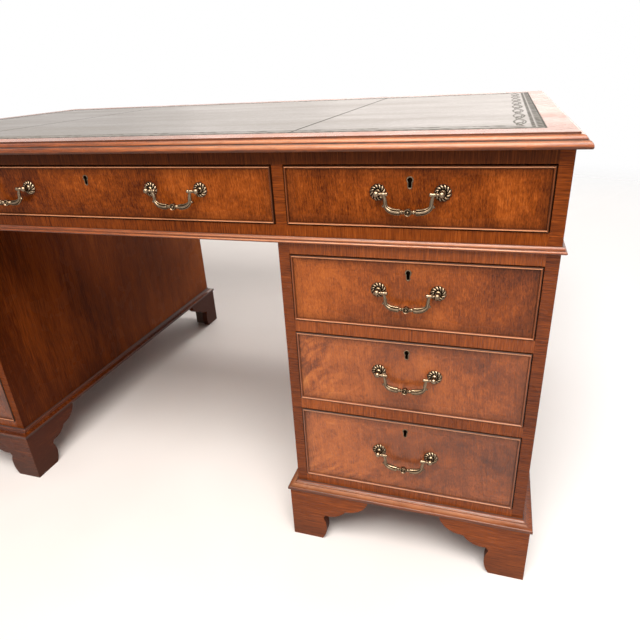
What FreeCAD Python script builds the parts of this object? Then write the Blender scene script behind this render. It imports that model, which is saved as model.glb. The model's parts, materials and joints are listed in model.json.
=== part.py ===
import FreeCAD, Part
import math
import os
from collections import namedtuple
from functools import cache

# Twin-pedestal kneehole desk with a leather top, nine drawers and swan-neck handles.
# Millimetres. The origin is on the floor under the middle of the top, the front faces -Y, +Z is up.

# Overall size
desk_width = 1524.0
desk_depth = 914.0
top_overhang = 17.0
pedestal_width = 408.0
panel_thickness = 18.0
rail_depth = 60.0

# Heights, from the floor up
foot_height = 116.0
plinth_rail_height = 32.0
lower_opening = 151.0
middle_opening = 133.0
upper_opening = 114.5
drawer_rail_height = 20.5
pedestal_top_rail_height = 19.0
frieze_bottom_rail_height = 27.5
frieze_opening = 89.5
frieze_top_rail_height = 19.5
top_thickness = 19.0

# Top: moulded edge and leather panels
edge_moulding_width = 15.5
leather_side_border = 34.5
leather_front_border = 43.5
leather_thickness = 1.2
leather_joint = 0.4
centre_leather_width = 700.0

# Mouldings round the frieze and the pedestals
waist_moulding_out = 7.0
waist_moulding_height = 10.0
base_moulding_out = 17.0
base_moulding_height = 15.0

# Bracket feet and the blocks behind them
foot_inset = 3.5
foot_thickness = 18.0
bracket_length = 152.0
foot_block_width = 36.0
foot_block_lift = 3.0

# Runners, drawer stops and locating dowels
runner_width = 24.0
runner_height = 18.0
stop_length = 40.0
stop_depth = 14.0
stop_height = 5.0
stop_spread_share = 0.3
dowel_radius = 5.0
dowel_depth = 12.0
dowel_clearance = 0.15
dowel_spread_share = 0.27

# Drawers: running gaps, fronts and cockbeads
side_gap = 1.2
top_gap = 1.6
bottom_gap = 1.0
runner_gap = 0.3
front_inset = 1.0
front_thickness = 20.0
bead_thickness = 3.5
bead_proud = 3.4
bead_seat_share = 0.375

# Drawers: boxes
drawer_length = 560.0
drawer_side_thickness = 10.0
drawer_back_thickness = 10.0
drawer_bottom_thickness = 6.0
drawer_bottom_rise = 10.0
drawer_groove = 5.0
drawer_side_drop = 6.0
drawer_back_drop = 4.0
dovetail_pitch = 38.0
dovetail_length_share = 0.55
dovetail_width_share = 0.62
dovetail_slope_degrees = 9.5

# Locks
lock_width = 52.0
lock_height = 38.0
lock_depth = 11.0
bolt_width = 20.0
bolt_thickness = 4.5
bolt_length = 17.0
bolt_cover = 2.0
bolt_clearance = 0.3
bolt_below_edge = 0.5
mortise_clearance = 1.0
mortise_depth = 9.0
keyhole_drop = 19.5
keyhole_radius = 5.0
keyhole_slot_width = 6.6
keyhole_length = 17.6
keyhole_wall = 1.2
keyhole_proud = 0.6
keyway_radius = 3.0
keyway_depth = 3.0
key_pin_radius = 1.1

# Handles: roses, pommel bolts and nuts
handle_spacing = 90.0
frieze_handle_rise = 6.5
pedestal_handle_rise = 6.8
centre_handle_share = 0.5
pivot_out = 13.5
rose_radius = 12.2
rose_rim = 1.2
rose_height = 4.2
rose_hub_radius = 5.0
rose_crown_share = 0.75
petal_count = 12
petal_notch_radius = 1.3
pommel_radius = 4.7
pommel_neck_radius = 3.2
stud_radius = 2.4
stud_clearance = 0.2
stud_end = 1.0
nut_radius = 6.0
nut_thickness = 4.0

# Handles: swan-neck bails
pin_radius = 1.9
pin_clearance = 0.3
pin_reach = 2.0
knuckle_length = 16.0
knob_radius = 2.6
neck_in = 12.0
neck_radius = 2.1
elbow_in = 14.5
elbow_radius = 2.8
bend_radius = 11.0
scroll_in = 11.8
scroll_drop = 16.0
scroll_radius = 2.8
scroll_thickness = 4.8
scroll_flat_share = 0.6
bar_drop = 24.5
bar_belly_radius = 4.4
bar_seat_share = 0.6
boss_radius = 5.0
boss_thickness = 7.6
boss_ring_width = 1.2
boss_sink = 1.4
boss_dot_radius = 1.8

# Outlines in shares of their width and height: a pair ends a straight run,
# a foursome gives an arc's middle and its end.
edge_profile_shares = (
    (0, 0), (0.935, 0), (0.985, 0.05, 1, 0.13), (0.9, 0.38, 0.625, 0.525), (0.58, 0.525),
    (0.58, 0.58), (0.42, 0.79, 0.14, 0.86), (0.06, 0.86), (0.06, 1), (0, 1),
)
waist_profile_shares = (
    (0, 0), (0.686, 0), (1, 0.22, 0.686, 0.44), (0.58, 0.44), (0.58, 0.5), (0.52, 0.8, 0.2, 1), (0, 1),
)
base_profile_shares = (
    (0, 0), (1, 0), (1, 0.26), (0.97, 0.36, 0.87, 0.39), (0.6, 0.42, 0.33, 0.54), (0.33, 0.6),
    (0.31, 0.67, 0.23, 0.7), (0.11, 0.81, 0.06, 1), (0, 1),
)
bead_profile_shares = ((0, 0), (1, 0), (1, 0.84), (0.5, 1, 0, 0.84))
bar_profile_shares = (
    (0, 0), (0.636, 0), (0.9, 0.22, 1, 0.44), (0.83, 0.52), (0.53, 0.52), (0.53, 0.6),
    (0.68, 0.69, 0.53, 0.78), (0.53, 1), (0, 1),
)
bracket_shares = (
    (0, 0), (0.395, 0), (0.457, 0.267, 0.418, 0.466), (0.447, 0.526),
    (0.592, 0.552, 0.71, 0.681), (0.743, 0.69), (0.914, 0.78, 1, 0.948), (1, 1), (0, 1),
)

# Every cut runs this far past the faces that it opens
overrun = 1.0

# Planes and places worked out from the sizes above
carcass_half_width = desk_width / 2 - top_overhang
carcass_half_depth = desk_depth / 2 - top_overhang
pedestal_centre = carcass_half_width - pedestal_width / 2
bay_half_width = pedestal_width / 2 - panel_thickness
kneehole_half_width = carcass_half_width - pedestal_width
front_plane = -carcass_half_depth
rail_back = front_plane + rail_depth
back_inside = carcass_half_depth - panel_thickness

lower_floor = foot_height + plinth_rail_height
middle_floor = lower_floor + lower_opening + drawer_rail_height
upper_floor = middle_floor + middle_opening + drawer_rail_height
pedestal_top = upper_floor + upper_opening + pedestal_top_rail_height
frieze_floor = pedestal_top + frieze_bottom_rail_height
frieze_ceiling = frieze_floor + frieze_opening
top_underside = frieze_ceiling + frieze_top_rail_height
top_face = top_underside + top_thickness

face_plane = front_plane + front_inset
front_back = face_plane + front_thickness
bead_seat = face_plane + front_thickness * bead_seat_share
drawer_back = face_plane + drawer_length
pivot_plane = face_plane - pivot_out
bolt_plane = front_back - bolt_cover - bolt_clearance - bolt_thickness / 2

Drawer = namedtuple("Drawer", "name centre floor width height handles rise")

X_AXIS = FreeCAD.Vector(1, 0, 0)
Y_AXIS = FreeCAD.Vector(0, 1, 0)
Z_AXIS = FreeCAD.Vector(0, 0, 1)
ORIGIN = FreeCAD.Vector(0, 0, 0)
quarter_turn = 90
half_turn = 180
full_turn = 360


def point(x, y, z):
    return FreeCAD.Vector(x, y, z)


def block(x0, x1, y0, y1, z0, z1):
    """Box between two corners."""
    return Part.makeBox(x1 - x0, y1 - y0, z1 - z0, point(x0, y0, z0))


def plate(points, thickness):
    """Straight-sided outline extruded along a vector."""
    return Part.Face(Part.makePolygon(points + points[:1])).extrude(thickness)


def outline_face(shares, across, up):
    """Face with the outline that a table of shares gives in the plane of two vectors."""
    at = across * shares[0][0] + up * shares[0][1]
    edges = []
    for share in shares[1:] + shares[:1]:
        end = across * share[-2] + up * share[-1]
        if len(share) == 4:
            middle = across * share[0] + up * share[1]
            edges.append(Part.Arc(at, middle, end).toShape())
        else:
            edges.append(Part.makeLine(at, end))
        at = end
    return Part.Face(Part.Wire(edges))


def turned(outline, radius=X_AXIS, length=Y_AXIS):
    """Solid of revolution about Y from an outline of (radius, y) points, with arcs as in the share tables."""
    return outline_face(outline, radius, length).revolve(ORIGIN, Y_AXIS, full_turn)


def joined(shapes):
    """One clean solid from overlapping shapes, joined one after the other."""
    whole = shapes[0]
    for shape in shapes[1:]:
        whole = whole.fuse(shape)
    return whole.removeSplitter().Solids[0]


def moved(shape, x, y, z):
    copy = shape.copy()
    copy.translate(point(x, y, z))
    return copy


def mitred_strip(half_length, half_depth, shares, out, height):
    """Moulding along the front of a rectangle, cut at 45 degrees where it meets its neighbours."""
    reach = out + overrun
    section = outline_face(shares, point(0, -out, 0), point(0, 0, height))
    section.translate(point(-half_length - reach, -half_depth, 0))
    run = section.extrude(X_AXIS * (2 * (half_length + reach)))
    inner = half_length - overrun
    outer = half_length + reach
    y_in = overrun - half_depth
    y_out = -half_depth - reach
    corners = [
        point(-inner, y_in, -overrun),
        point(inner, y_in, -overrun),
        point(outer, y_out, -overrun),
        point(-outer, y_out, -overrun),
    ]
    return run.common(plate(corners, Z_AXIS * (height + 2 * overrun))).Solids[0]


def mitred_frame(half_x, half_y, shares, out, height):
    """Four mitred strips round a rectangle, which stand out from it and rise from z = 0."""
    strips = []
    for side in range(4):
        halves = (half_x, half_y) if side % 2 == 0 else (half_y, half_x)
        strip = mitred_strip(*halves, shares, out, height)
        strip.rotate(ORIGIN, Z_AXIS, side * quarter_turn)
        strips.append(strip)
    return strips


# Top

board_half_width = desk_width / 2 - edge_moulding_width
board_half_depth = desk_depth / 2 - edge_moulding_width
leather_half_width = board_half_width - leather_side_border
leather_half_depth = board_half_depth - leather_front_border
leather_floor = top_face - leather_thickness


def top_board():
    board = block(-board_half_width, board_half_width, -board_half_depth, board_half_depth,
                  top_underside, top_face)
    recess = block(-leather_half_width, leather_half_width, -leather_half_depth, leather_half_depth,
                   leather_floor, top_face + overrun)
    return [board.cut(recess)]


def top_edge_moulding():
    strips = mitred_frame(board_half_width, board_half_depth, edge_profile_shares,
                          edge_moulding_width, top_thickness)
    return [moved(strip, 0, 0, top_underside) for strip in strips]


def leather_panels():
    """Three panels side by side, each let in with a fine joint all round."""
    seam = centre_leather_width / 2
    edge = leather_half_width - leather_joint
    depth = leather_half_depth - leather_joint
    spans = ((-edge, -seam - leather_joint), (-seam, seam), (seam + leather_joint, edge))
    return [block(x0, x1, -depth, depth, leather_floor, top_face) for x0, x1 in spans]


# Frieze

def dowel_places():
    """Two dowels at the front and two at the back of each pedestal."""
    spread = pedestal_width * dowel_spread_share
    for centre in (-pedestal_centre, pedestal_centre):
        for x in (centre - spread, centre + spread):
            yield x, front_plane + rail_depth / 2
            yield x, back_inside - rail_depth / 2


@cache
def dowel_holes():
    radius = dowel_radius + dowel_clearance
    depth = dowel_depth + dowel_clearance
    return [Part.makeCylinder(radius, 2 * depth, point(x, y, pedestal_top - depth)) for x, y in dowel_places()]


def locating_dowels():
    return [
        Part.makeCylinder(dowel_radius, 2 * dowel_depth, point(x, y, pedestal_top - dowel_depth))
        for x, y in dowel_places()
    ]


def frieze_panels():
    """Ends and back, and two partitions notched round the front rails."""
    inside = carcass_half_width - panel_thickness
    boards = [block(-inside, inside, back_inside, carcass_half_depth, pedestal_top, top_underside)]
    for side in (-1, 1):
        end = block(inside, carcass_half_width, front_plane, carcass_half_depth, pedestal_top, top_underside)
        partition_x = (kneehole_half_width, kneehole_half_width + panel_thickness)
        deep = block(*partition_x, rail_back, back_inside, pedestal_top, top_underside)
        face = block(*partition_x, front_plane, rail_back, frieze_floor, frieze_ceiling)
        for board in (end, joined([deep, face])):
            boards.append(board if side > 0 else board.mirror(ORIGIN, X_AXIS))
    return boards


def frieze_rails():
    inside = carcass_half_width - panel_thickness
    top_rail = block(-inside, inside, front_plane, rail_back, frieze_ceiling, top_underside)
    bottom_rail = block(-inside, inside, front_plane, rail_back, pedestal_top, frieze_floor)
    rear_rails = [
        block(centre - bay_half_width, centre + bay_half_width, back_inside - rail_depth, back_inside,
              pedestal_top, frieze_floor)
        for centre in (-pedestal_centre, pedestal_centre)
    ]
    rails = [top_rail.cut(bolt_mortises()), bottom_rail.cut(dowel_holes())]
    return rails + [rail.cut(dowel_holes()) for rail in rear_rails]


def waist_moulding():
    strips = mitred_frame(carcass_half_width, carcass_half_depth, waist_profile_shares,
                          waist_moulding_out, waist_moulding_height)
    return [moved(strip, 0, 0, pedestal_top) for strip in strips]


# Pedestals

def pedestal_panels(centre):
    """Two sides, back, bottom and top of one pedestal."""
    outer = pedestal_width / 2
    left, right = centre - bay_half_width, centre + bay_half_width
    bottom_top = lower_floor - runner_height
    top_bottom = pedestal_top - panel_thickness
    top = block(left, right, rail_back, back_inside, top_bottom, pedestal_top)
    return [
        block(centre - outer, left, front_plane, carcass_half_depth, foot_height, pedestal_top),
        block(right, centre + outer, front_plane, carcass_half_depth, foot_height, pedestal_top),
        block(left, right, back_inside, carcass_half_depth, foot_height, pedestal_top),
        block(left, right, rail_back, back_inside, foot_height, bottom_top),
        top.cut(dowel_holes()),
    ]


def drawer_rails():
    """The four front rails of each pedestal, with mortises for the lock bolts and holes for the dowels."""
    levels = (
        (foot_height, lower_floor),
        (lower_floor + lower_opening, middle_floor),
        (middle_floor + middle_opening, upper_floor),
        (upper_floor + upper_opening, pedestal_top),
    )
    rails = []
    for centre in (-pedestal_centre, pedestal_centre):
        for z0, z1 in levels:
            rail = block(centre - bay_half_width, centre + bay_half_width, front_plane, rail_back, z0, z1)
            rails.append(rail.cut(bolt_mortises() + dowel_holes()).Solids[0])
    return rails


def base_moulding():
    strips = mitred_frame(pedestal_width / 2, carcass_half_depth, base_profile_shares,
                          base_moulding_out, base_moulding_height)
    return [moved(strip, centre, 0, foot_height) for centre in (-pedestal_centre, pedestal_centre)
            for strip in strips]


def at_corners(shape, centre):
    """Copies of a shape, made for the front left corner of a pedestal, at its four corners."""
    front_left = moved(shape, centre, 0, 0)
    front_right = front_left.mirror(point(centre, 0, 0), X_AXIS)
    fronts = [front_left, front_right]
    return fronts + [front.mirror(ORIGIN, Y_AXIS) for front in fronts]


foot_half_width = pedestal_width / 2 + base_moulding_out - foot_inset
foot_half_depth = carcass_half_depth + base_moulding_out - foot_inset


def bracket_feet():
    """Front and side brackets of each foot, with an ogee underside, mitred at the corner."""
    face = outline_face(bracket_shares, X_AXIS * bracket_length, Z_AXIS * foot_height)
    far = foot_thickness + overrun
    waste = plate([point(-overrun, -overrun, -overrun), point(far, far, -overrun), point(-overrun, far, -overrun)],
                  Z_AXIS * (foot_height + 2 * overrun))
    front = face.extrude(Y_AXIS * foot_thickness).cut(waste).Solids[0]
    side = front.mirror(ORIGIN, X_AXIS - Y_AXIS)
    brackets = []
    for centre in (-pedestal_centre, pedestal_centre):
        for bracket in (front, side):
            brackets += at_corners(moved(bracket, -foot_half_width, -foot_half_depth, 0), centre)
    return brackets


def foot_blocks():
    x = foot_thickness - foot_half_width
    y = foot_thickness - foot_half_depth
    corner = block(x, x + foot_block_width, y, y + foot_block_width, foot_block_lift, foot_height)
    return at_corners(corner, -pedestal_centre) + at_corners(corner, pedestal_centre)


# Drawers

@cache
def all_drawers():
    """The nine drawers: name, middle and floor of the opening, its width and height, and handle places."""
    bay_width = 2 * bay_half_width
    levels = (
        ("frieze", frieze_floor, frieze_opening, frieze_handle_rise),
        ("upper", upper_floor, upper_opening, pedestal_handle_rise),
        ("middle", middle_floor, middle_opening, pedestal_handle_rise),
        ("lower", lower_floor, lower_opening, pedestal_handle_rise),
    )
    offset = kneehole_half_width * centre_handle_share
    centre_handles = {"left_": -offset, "right_": offset}
    drawers = [Drawer("centre_drawer", 0, frieze_floor, 2 * kneehole_half_width, frieze_opening,
                      centre_handles, frieze_handle_rise)]
    for side, centre in (("left", -pedestal_centre), ("right", pedestal_centre)):
        for level, floor, height, rise in levels:
            name = f"{side}_{level}_drawer"
            drawers.append(Drawer(name, centre, floor, bay_width, height, {"": 0}, rise))
    return drawers


def half_width(drawer):
    return drawer.width / 2 - side_gap


def front_bottom(drawer):
    return drawer.floor + bottom_gap


def front_top(drawer):
    return drawer.floor + drawer.height - top_gap


def side_bottom(drawer):
    return drawer.floor + runner_gap


def side_top(drawer):
    return front_top(drawer) - drawer_side_drop


def pivot_height(drawer):
    return drawer.floor + drawer.height / 2 + drawer.rise


def runners_and_stops():
    """Two runners under each drawer's sides, and two stops behind its front."""
    pieces = []
    for drawer in all_drawers():
        half = drawer.width / 2
        runner_end = back_inside if drawer.floor < pedestal_top else back_inside - rail_depth
        stop_x = drawer.width * stop_spread_share
        stop_y = front_back + runner_gap
        for side in (-1, 1):
            runner = block(half - runner_width, half, rail_back, runner_end,
                           drawer.floor - runner_height, drawer.floor)
            stop = block(stop_x - stop_length / 2, stop_x + stop_length / 2, stop_y, stop_y + stop_depth,
                         drawer.floor, drawer.floor + stop_height)
            for piece in (runner, stop):
                hand = piece if side > 0 else piece.mirror(ORIGIN, X_AXIS)
                pieces.append(moved(hand, drawer.centre, 0, 0))
    return pieces


def dovetails(drawer):
    """Tails at the front end of the right-hand side, wider at the tip than at the shoulder."""
    height = side_top(drawer) - side_bottom(drawer)
    count = max(2, round(height / dovetail_pitch))
    pitch = height / count
    length = front_thickness * dovetail_length_share
    tip_half = pitch * dovetail_width_share / 2
    root_half = tip_half - length * math.tan(math.radians(dovetail_slope_degrees))
    x = drawer.centre + half_width(drawer) - drawer_side_thickness
    tails = []
    for index in range(count):
        z = side_bottom(drawer) + (index + 0.5) * pitch
        corners = [
            point(x, front_back, z - root_half),
            point(x, front_back - length, z - tip_half),
            point(x, front_back - length, z + tip_half),
            point(x, front_back, z + root_half),
        ]
        tails.append(plate(corners, X_AXIS * drawer_side_thickness))
    return tails


def both_hands(shapes, drawer):
    """Shapes on the right of a drawer, with their mirror images on its left."""
    return shapes + [shape.mirror(point(drawer.centre, 0, 0), X_AXIS) for shape in shapes]


def drawer_bottom(drawer):
    reach = half_width(drawer) - drawer_side_thickness + drawer_groove
    z = side_bottom(drawer) + drawer_bottom_rise
    return block(drawer.centre - reach, drawer.centre + reach, front_back - drawer_groove, drawer_back,
                 z, z + drawer_bottom_thickness)


def drawer_box(drawer):
    """Dovetailed sides, a bottom let into grooves, and a back that stands on the bottom."""
    bottom = drawer_bottom(drawer)
    outer = drawer.centre + half_width(drawer)
    inner = half_width(drawer) - drawer_side_thickness
    board = block(outer - drawer_side_thickness, outer, front_back, drawer_back,
                  side_bottom(drawer), side_top(drawer))
    side = joined([board] + dovetails(drawer)).cut(bottom).Solids[0]
    back = block(drawer.centre - inner, drawer.centre + inner, drawer_back - drawer_back_thickness, drawer_back,
                 bottom.BoundBox.ZMax, side_top(drawer) - drawer_back_drop)
    return both_hands([side], drawer) + [bottom, back]


def keyhole(drawer, margin, y0, y1):
    """Round hole with a slot below it, along Y, smaller than the liner's outside by a margin."""
    z = front_top(drawer) - keyhole_drop
    radius = keyhole_radius - margin
    slot_half = keyhole_slot_width / 2 - margin
    slot_end = z + keyhole_radius - keyhole_length + keyhole_slot_width / 2
    hole = Part.makeCylinder(radius, y1 - y0, point(drawer.centre, y0, z), Y_AXIS)
    slot = block(drawer.centre - slot_half, drawer.centre + slot_half, y0, y1, slot_end, z)
    end = Part.makeCylinder(slot_half, y1 - y0, point(drawer.centre, y0, slot_end), Y_AXIS)
    return joined([hole, slot, end])


def lock_body(drawer):
    top = front_top(drawer)
    half = lock_width / 2
    return block(drawer.centre - half, drawer.centre + half, front_back - lock_depth, front_back,
                 top - lock_height, top)


def bolt_block(drawer, margin, z0, z1):
    """The bolt's section, grown by a margin, between two heights."""
    half = bolt_width / 2 + margin
    thick = bolt_thickness / 2 + margin
    return block(drawer.centre - half, drawer.centre + half, bolt_plane - thick, bolt_plane + thick, z0, z1)


def lock_bolt(drawer):
    top = front_top(drawer) - bolt_below_edge
    return [bolt_block(drawer, 0, top - bolt_length, top)]


@cache
def bolt_mortises():
    """Pockets in the rails above the drawers, which the bolts rise into."""
    pockets = []
    for drawer in all_drawers():
        ceiling = drawer.floor + drawer.height
        pockets.append(bolt_block(drawer, mortise_clearance, ceiling - overrun, ceiling + mortise_depth))
    return pockets


def lock_case(drawer):
    """Case with a channel for the bolt, open at the top, and a keyway round its pin."""
    top = front_top(drawer)
    channel_floor = top - bolt_below_edge - bolt_length - bolt_clearance
    channel = bolt_block(drawer, bolt_clearance, channel_floor, top + overrun)
    case_front = front_back - lock_depth
    at = point(drawer.centre, case_front - overrun, top - keyhole_drop)
    deep = keyway_depth + overrun
    keyway = Part.makeCylinder(keyway_radius, deep, at, Y_AXIS).cut(
        Part.makeCylinder(key_pin_radius, deep, at, Y_AXIS))
    return lock_body(drawer).cut([channel, keyway]).Solids[0]


def keyhole_liner(drawer):
    y0, y1 = face_plane - keyhole_proud, front_back - lock_depth
    bore = keyhole(drawer, keyhole_wall, y0 - overrun, y1 + overrun)
    return keyhole(drawer, 0, y0, y1).cut(bore)


def post_places(drawer):
    for offset in drawer.handles.values():
        for side in (-1, 1):
            yield drawer.centre + offset + side * handle_spacing / 2


def stud_holes(drawer):
    radius = stud_radius + stud_clearance
    length = front_thickness + 2 * overrun
    return [
        Part.makeCylinder(radius, length, point(x, face_plane - overrun, pivot_height(drawer)), Y_AXIS)
        for x in post_places(drawer)
    ]


def drawer_front(drawer):
    """Front board, rebated for its cockbeads, with everything that is cut into it."""
    half = half_width(drawer)
    z0, z1 = front_bottom(drawer), front_top(drawer)
    core = half - bead_thickness
    x = drawer.centre
    body = block(x - half, x + half, bead_seat, front_back, z0, z1)
    face = block(x - core, x + core, face_plane, bead_seat, z0 + bead_thickness, z1 - bead_thickness)
    through_keyhole = keyhole(drawer, 0, face_plane - overrun, front_back - lock_depth)
    cuts = both_hands(dovetails(drawer), drawer) + stud_holes(drawer)
    cuts += [drawer_bottom(drawer), lock_body(drawer), through_keyhole]
    board = joined([body, face]).cut(cuts).Solids[0]
    return [board] + cockbeads(drawer)


def cockbeads(drawer):
    """Four mitred strips round the front, half-round where they stand proud of it."""
    z0, z1 = front_bottom(drawer), front_top(drawer)
    strips = mitred_frame(half_width(drawer) - bead_thickness, (z1 - z0) / 2 - bead_thickness,
                          bead_profile_shares, bead_thickness, bead_seat - face_plane + bead_proud)
    placed = []
    for strip in strips:
        strip.rotate(ORIGIN, X_AXIS, quarter_turn)
        placed.append(moved(strip, drawer.centre, bead_seat, (z0 + z1) / 2))
    return placed


# Handles

@cache
def rose():
    """Domed plate with a scalloped rim, round the pommel bolt; its back lies on y = 0."""
    bore = stud_radius + stud_clearance
    middle = (rose_radius + rose_hub_radius) / 2
    crown = rose_rim + (rose_height - rose_rim) * rose_crown_share
    dome = turned((
        (bore, 0), (rose_radius, 0), (rose_radius, -rose_rim),
        (middle, -crown, rose_hub_radius, -rose_height), (bore, -rose_height),
    ))
    notches = []
    for index in range(petal_count):
        angle = 2 * math.pi * index / petal_count
        at = point(rose_radius * math.cos(angle), overrun, rose_radius * math.sin(angle))
        notches.append(Part.makeCylinder(petal_notch_radius, rose_height + 2 * overrun, at, -Y_AXIS))
    return dome.cut(notches).Solids[0]


@cache
def pommel_bolt():
    """Stud through the front, a waisted neck and a ball bored across for the bail's pin."""
    neck_end = math.sqrt(pommel_radius ** 2 - pommel_neck_radius ** 2) - pivot_out
    tail = front_thickness + nut_thickness + stud_end
    bolt = turned((
        (0, tail), (stud_radius, tail), (stud_radius, -rose_height), (rose_hub_radius, -rose_height),
        (pommel_neck_radius, (neck_end - rose_height) / 2, pommel_neck_radius, neck_end),
        (pommel_radius, -pivot_out, 0, -pivot_out - pommel_radius),
    ))
    bore = Part.makeCylinder(pin_radius + pin_clearance, 2 * (pommel_radius + overrun),
                             point(-pommel_radius - overrun, -pivot_out, 0), X_AXIS)
    return bolt.cut(bore).Solids[0]


@cache
def nut():
    """Round nut behind the front; the drawer front's face lies on y = 0."""
    back = front_thickness + nut_thickness
    return turned((
        (stud_radius, front_thickness), (nut_radius, front_thickness), (nut_radius, back), (stud_radius, back),
    ))


def drawer_fittings(drawer):
    pieces = [keyhole_liner(drawer), lock_case(drawer)]
    for x in post_places(drawer):
        for piece in (rose(), pommel_bolt(), nut()):
            pieces.append(moved(piece, x, face_plane, pivot_height(drawer)))
    return pieces


def along(shape, start, end):
    """A shape made along +Y from the origin, turned to run from one point towards another."""
    shape.Placement = FreeCAD.Placement(start, FreeCAD.Rotation(Y_AXIS, end - start))
    return shape


def knuckle():
    """Pin that turns in the pommel, drawn out to a knob at its inner end."""
    post = handle_spacing / 2
    meeting = knob_radius + math.sqrt(knob_radius ** 2 - pin_radius ** 2)
    length = knob_radius + knuckle_length + pin_reach
    pin = turned((
        (0, 0), (knob_radius, knob_radius, pin_radius, meeting), (pin_radius, length), (0, length),
    ))
    start = point(post - knuckle_length - knob_radius, 0, 0)
    return along(pin, start, point(post, 0, 0))


def bent_rod(start, facing, centre, degrees, radius):
    """Round rod that starts across a direction and bends about an axis along Y."""
    disc = Part.Face(Part.Wire([Part.makeCircle(radius, start, facing)]))
    return disc.revolve(centre, Y_AXIS, degrees)


def swan_neck():
    """Arm that rises from the elbow and sways outwards to the pin."""
    elbow = point(handle_spacing / 2 - elbow_in, 0, bend_radius - bar_drop)
    out = elbow_in - neck_in
    rise = bar_drop - bend_radius
    sway_radius = (out ** 2 + rise ** 2) / (2 * out)
    degrees = math.degrees(math.asin(rise / sway_radius))
    return bent_rod(elbow, Z_AXIS, elbow + X_AXIS * sway_radius, degrees, neck_radius)


def elbow_bend():
    """Quarter bend between the bar and the neck."""
    start = point(handle_spacing / 2 - elbow_in - bend_radius, 0, -bar_drop)
    return bent_rod(start, X_AXIS, start + Z_AXIS * bend_radius, -quarter_turn, elbow_radius)


def scroll():
    """Rounded disc outside the elbow."""
    flat = scroll_radius * scroll_flat_share
    half = scroll_thickness / 2
    disc = turned(((0, half), (flat, half), (scroll_radius, 0, flat, -half), (0, -half)))
    return moved(disc, handle_spacing / 2 - scroll_in, 0, -scroll_drop)


def bail_bar():
    """Bar that swells towards a blunt end, with a ringed collar that meets the boss."""
    start = point(handle_spacing / 2 - elbow_in - bend_radius, 0, -bar_drop)
    end = point(boss_radius * bar_seat_share, 0, -bar_drop)
    bar = turned(bar_profile_shares, X_AXIS * bar_belly_radius, Y_AXIS * (start.x - end.x))
    return along(bar, start, end)


def boss():
    """Round boss with a raised ring and a dot at its middle."""
    half = boss_thickness / 2
    floor = boss_sink - half
    ring_inside = boss_radius - boss_ring_width
    return turned((
        (0, half), (boss_radius, half), (boss_radius, -half), (ring_inside, -half), (ring_inside, floor),
        (boss_dot_radius, floor), (0, floor - boss_dot_radius),
    ))


@cache
def bail():
    """Swan-neck bail, hanging plumb from its pins, which lie along X through the origin."""
    half = joined([knuckle(), swan_neck(), scroll(), elbow_bend(), bail_bar()])
    other_half = half.copy()
    other_half.rotate(ORIGIN, Z_AXIS, half_turn)
    return joined([moved(boss(), 0, 0, -bar_drop), half, other_half])


def write(name, solids):
    Part.makeCompound(solids).exportStep(f"parts/{name}.step")


def main():
    os.makedirs("parts", exist_ok=True)
    for make in (top_board, top_edge_moulding, leather_panels, frieze_panels, frieze_rails, waist_moulding,
                 drawer_rails, runners_and_stops, base_moulding, bracket_feet, foot_blocks, locating_dowels):
        write(make.__name__, make())
    write("left_pedestal_panels", pedestal_panels(-pedestal_centre))
    write("right_pedestal_panels", pedestal_panels(pedestal_centre))
    for drawer in all_drawers():
        write(f"{drawer.name}_front", drawer_front(drawer))
        write(f"{drawer.name}_box", drawer_box(drawer))
        write(f"{drawer.name}_fittings", drawer_fittings(drawer))
        write(f"{drawer.name}_lock_bolt", lock_bolt(drawer))
        for hand, offset in drawer.handles.items():
            placed = moved(bail(), drawer.centre + offset, pivot_plane, pivot_height(drawer))
            write(f"{drawer.name}_{hand}bail", [placed])


main()
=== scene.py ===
import json
import math

import bmesh
import bpy
from mathutils import Matrix, Vector

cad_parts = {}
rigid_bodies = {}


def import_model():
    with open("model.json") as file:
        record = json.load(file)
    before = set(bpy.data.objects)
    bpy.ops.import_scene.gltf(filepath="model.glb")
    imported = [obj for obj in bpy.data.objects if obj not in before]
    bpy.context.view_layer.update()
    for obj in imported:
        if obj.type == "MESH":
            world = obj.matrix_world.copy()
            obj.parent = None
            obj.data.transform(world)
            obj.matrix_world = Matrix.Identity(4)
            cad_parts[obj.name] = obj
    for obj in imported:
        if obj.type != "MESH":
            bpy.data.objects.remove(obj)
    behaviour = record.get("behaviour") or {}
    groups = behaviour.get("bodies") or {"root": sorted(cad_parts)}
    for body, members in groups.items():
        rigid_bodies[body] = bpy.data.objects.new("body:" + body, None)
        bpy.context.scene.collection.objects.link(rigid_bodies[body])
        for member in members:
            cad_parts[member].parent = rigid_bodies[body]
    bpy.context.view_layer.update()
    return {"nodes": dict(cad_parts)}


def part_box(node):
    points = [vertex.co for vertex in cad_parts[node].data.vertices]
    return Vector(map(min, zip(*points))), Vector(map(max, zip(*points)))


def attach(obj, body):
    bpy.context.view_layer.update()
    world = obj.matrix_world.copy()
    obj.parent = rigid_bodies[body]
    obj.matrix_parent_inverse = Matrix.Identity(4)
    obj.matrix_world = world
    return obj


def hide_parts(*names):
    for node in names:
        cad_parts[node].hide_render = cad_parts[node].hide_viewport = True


for left_over in list(bpy.data.objects):
    bpy.data.objects.remove(left_over)

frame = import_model()
nodes = frame["nodes"]

X, Y, Z = 0, 1, 2


def new_object(name, data):
    piece = bpy.data.objects.new(name, data)
    bpy.context.scene.collection.objects.link(piece)
    return piece


# Short calls that build a procedural material, each giving a socket

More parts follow.
